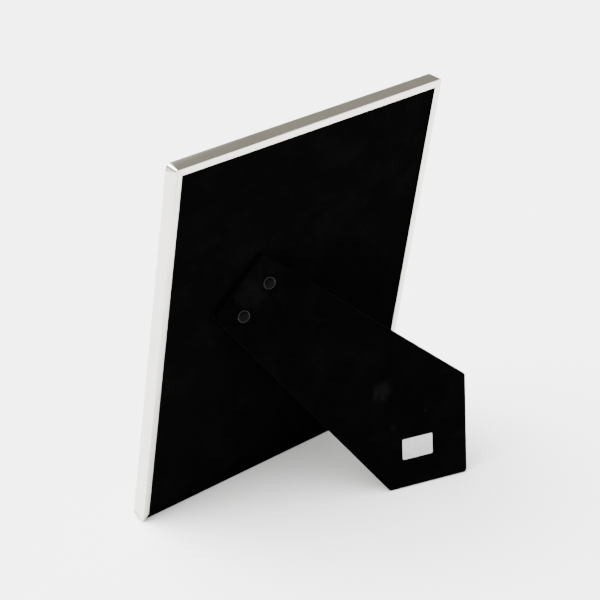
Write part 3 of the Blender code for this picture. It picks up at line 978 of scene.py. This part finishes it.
class PHOTOFRAME_OT_label(bpy.types.Operator):
    """Build the blank foil label near the foot"""

    bl_idname = "photo_frame.label"
    bl_label = "Label"

    def execute(self, context):
        sizes = context.scene.photo_frame_sizes
        slanted = [LEG.matrix.to_3x3() @ Vector(v) for v in ((1, 1, 0), (-1, 1, 0), (0, 0, 1))]
        axes = Axes(LEG.place((0, 0, 0)), *slanted)
        low, high = axes.span("leg_label")
        face = LEG.span("leg_velvet")[1].z
        corners = sharp_corners([p[:2] for p in axes.points("leg_label")], 4)
        outline = soft_outline(corners, sizes.label_corner, 1 * MM)
        edge, sunk, lower_edge = sizes.label_edge, 0.15 * MM, 0.05 * MM
        seat, top = face - sunk, (face + high.z) / 2
        section = [(lower_edge, seat), (0, seat + lower_edge)]
        section += arc((edge, top - edge), edge, 180, 90, 4)
        rings = [
            [(*(point - normal * inset), height) for point, normal in outline]
            for inset, height in section
        ]
        points, faces = joined_rings(rings)
        foil = label_foil(context.scene.photo_frame_colours)
        make_piece(
            "foil_label", points, faces, axes, foil, "leg", ["leg_label"]
        )
        return {"FINISHED"}


# Pieces that keep their shape --------------------------------------------------------------------


def refinish(names, material):
    """Gives nodes that keep their own shape a finished material."""
    for name in names:
        node = frame["nodes"][name]
        node.data.materials.clear()
        node.data.materials.append(material)


class PHOTOFRAME_OT_picture(bpy.types.Operator):
    """Finish the glass, the print and the filler card"""

    bl_idname = "photo_frame.picture"
    bl_label = "Glass and print"

    def execute(self, context):
        colours = context.scene.photo_frame_colours
        refinish(["glass"], clear_glass())
        refinish(["photo_insert"], print_paper(colours))
        card = fibre("grey_card", colours.card, (0.62, 0.60, 0.56), 0.35 * MM, 0.03 * MM)
        refinish(["filler_card"], card)
        return {"FINISHED"}


class PHOTOFRAME_OT_hardware(bpy.types.Operator):
    """Finish the braces, hinge, board rivets, boards and linings"""

    bl_idname = "photo_frame.hardware"
    bl_label = "Hinge, braces and boards"

    def execute(self, context):
        colours = context.scene.photo_frame_colours
        corners = ("lower_left", "lower_right", "upper_right", "upper_left")
        steel = worn_metal("brace_steel", colours.steel, 0.30, 0.3 * MM)
        refinish([f"corner_brace_{corner}" for corner in corners], steel)
        black = worn_metal("hinge_steel", colours.black_steel, 0.34, 0.25 * MM)
        refinish(["hinge_board_leaf", "hinge_leg_leaf", "hinge_pin"], black)
        rivet = worn_metal("rivet_steel", colours.steel, 0.26, 0.2 * MM)
        refinish(["board_rivet_upper", "board_rivet_lower"], rivet)
        board = fibre("board_fibre", colours.board, (0.32, 0.23, 0.14), 0.4 * MM, 0.05 * MM)
        refinish(["back_board", "leg_board"], board)
        paper = fibre("lining_paper", colours.lining, (0.03, 0.03, 0.031), 0.25 * MM, 0.03 * MM)
        refinish(["back_lining", "leg_lining"], paper)
        return {"FINISHED"}


# The stage ---------------------------------------------------------------------------------------


def add_lamp(name, kind, toward, power):
    """A light that shines from a direction, and its settings."""
    data = bpy.data.lights.new(name, kind)
    data.energy = power
    lamp = bpy.data.objects.new(name, data)
    bpy.context.scene.collection.objects.link(lamp)
    lamp.rotation_mode = "QUATERNION"
    lamp.rotation_quaternion = Vector(toward).to_track_quat("Z", "Y")
    return lamp, data


def add_sun(name, toward, power, width):
    """A wide soft light from far away, even over the whole floor."""
    _, data = add_lamp(name, "SUN", toward, power)
    data.angle = width


def add_softbox(name, toward, distance, size, power, aim):
    """A square soft light that faces its aim."""
    lamp, data = add_lamp(name, "AREA", toward, power)
    data.shape = "SQUARE"
    data.size = size
    lamp.location = Vector(aim) + Vector(toward).normalized() * distance


class PHOTOFRAME_OT_stage(bpy.types.Operator):
    """Set up the floor, the soft lights and the camera"""

    bl_idname = "photo_frame.stage"
    bl_label = "Stage"

    def execute(self, context):
        colours = context.scene.photo_frame_colours
        studio = context.scene.photo_frame_studio
        self.add_floor(studio, colours)
        self.add_room(context, studio, colours)
        add_sun(
            "light_above", toward=(0.35, -0.35, 0.87), power=studio.sun_power,
            width=studio.sun_width,
        )
        add_softbox(
            "light_side", toward=(-0.9, 0.6, 0.50), distance=1.9, size=0.7, power=9.0,
            aim=studio.aim,
        )
        self.add_camera(context, studio)
        return {"FINISHED"}

    def add_floor(self, studio, colours):
        half = studio.floor_reach
        mesh = bpy.data.meshes.new("floor")
        corners = [(-half, -half, 0), (half, -half, 0), (half, half, 0), (-half, half, 0)]
        mesh.from_pydata(corners, [], [(0, 1, 2, 3)])
        mesh.materials.append(studio_floor(colours))
        floor = bpy.data.objects.new("floor", mesh)
        bpy.context.scene.collection.objects.link(floor)

    def add_room(self, context, studio, colours):
        """An even white tent with two shaded parts for the polished metal to mirror.

        Each part is full within one angle of its direction and gone beyond the other."""
        finish = Finish("room", bpy.data.worlds, "Generated")
        horizon, clear = 0, 0.04
        above = finish.rise(finish.along((0, 0, 1)), horizon, clear)
        shaded_parts = (
            ((-0.78, 0.08, 0.62), 38, 50, colours.shade),
            ((0.82, -0.54, 0.17), 9, 16, colours.drape),
        )
        tent = colours.room
        for toward, full_angle, gone_angle, colour_there in shaded_parts:
            limits = [math.cos(math.radians(angle)) for angle in (gone_angle, full_angle)]
            inside = finish.rise(finish.along(toward), *limits) * above
            tent = finish.mix(inside, tent, colour_there)
        values = {"Color": tent, "Strength": studio.room_power}
        light = finish.node("ShaderNodeBackground", {}, values)
        context.scene.world = finish.finished(light, "ShaderNodeOutputWorld")

    def add_camera(self, context, studio):
        data = bpy.data.cameras.new("camera")
        data.lens = studio.lens
        camera = bpy.data.objects.new("camera", data)
        context.scene.collection.objects.link(camera)
        level, turn = math.cos(studio.elevation), studio.azimuth
        rise = math.sin(studio.elevation)
        back = Vector((math.sin(turn) * level, -math.cos(turn) * level, rise))
        camera.location = Vector(studio.aim) + back * studio.distance
        upright = back.to_track_quat("Z", "Y").to_matrix().to_4x4()
        rolled = upright @ Matrix.Rotation(studio.roll, 4, "Z")
        camera.rotation_euler = rolled.to_euler()
        context.scene.camera = camera


# The add-on --------------------------------------------------------------------------------------

OPERATORS = (
    PHOTOFRAME_OT_rails,
    PHOTOFRAME_OT_back_velvet,
    PHOTOFRAME_OT_leg_velvet,
    PHOTOFRAME_OT_leg_rivets,
    PHOTOFRAME_OT_label,
    PHOTOFRAME_OT_picture,
    PHOTOFRAME_OT_hardware,
    PHOTOFRAME_OT_stage,
)


class PHOTOFRAME_PT_pieces(bpy.types.Panel):
    """Lists the pieces of the photo frame"""

    bl_idname = "PHOTOFRAME_PT_pieces"
    bl_label = "Photo frame"
    bl_space_type = "VIEW_3D"
    bl_region_type = "UI"
    bl_category = "Photo frame"

    def draw(self, context):
        for operator in OPERATORS:
            self.layout.operator(operator.bl_idname)
        for group in ("photo_frame_sizes", "photo_frame_colours", "photo_frame_studio"):
            settings = getattr(context.scene, group)
            box = self.layout.box()
            for name in settings.__annotations__:
                box.prop(settings, name)


GROUPS = {
    "photo_frame_sizes": PhotoFrameSizes,
    "photo_frame_colours": PhotoFrameColours,
    "photo_frame_studio": PhotoFrameStudio,
}


def register():
    for group in GROUPS.values():
        bpy.utils.register_class(group)
    for name, group in GROUPS.items():
        setattr(bpy.types.Scene, name, PointerProperty(type=group))
    for operator in OPERATORS:
        bpy.utils.register_class(operator)
    bpy.utils.register_class(PHOTOFRAME_PT_pieces)


def unregister():
    bpy.utils.unregister_class(PHOTOFRAME_PT_pieces)
    for operator in reversed(OPERATORS):
        bpy.utils.unregister_class(operator)
    for name, group in GROUPS.items():
        delattr(bpy.types.Scene, name)
        bpy.utils.unregister_class(group)


def main():
    register()
    for operator in OPERATORS:
        group, name = operator.bl_idname.split(".")
        getattr(getattr(bpy.ops, group), name)()


if __name__ == "__main__":
    main()
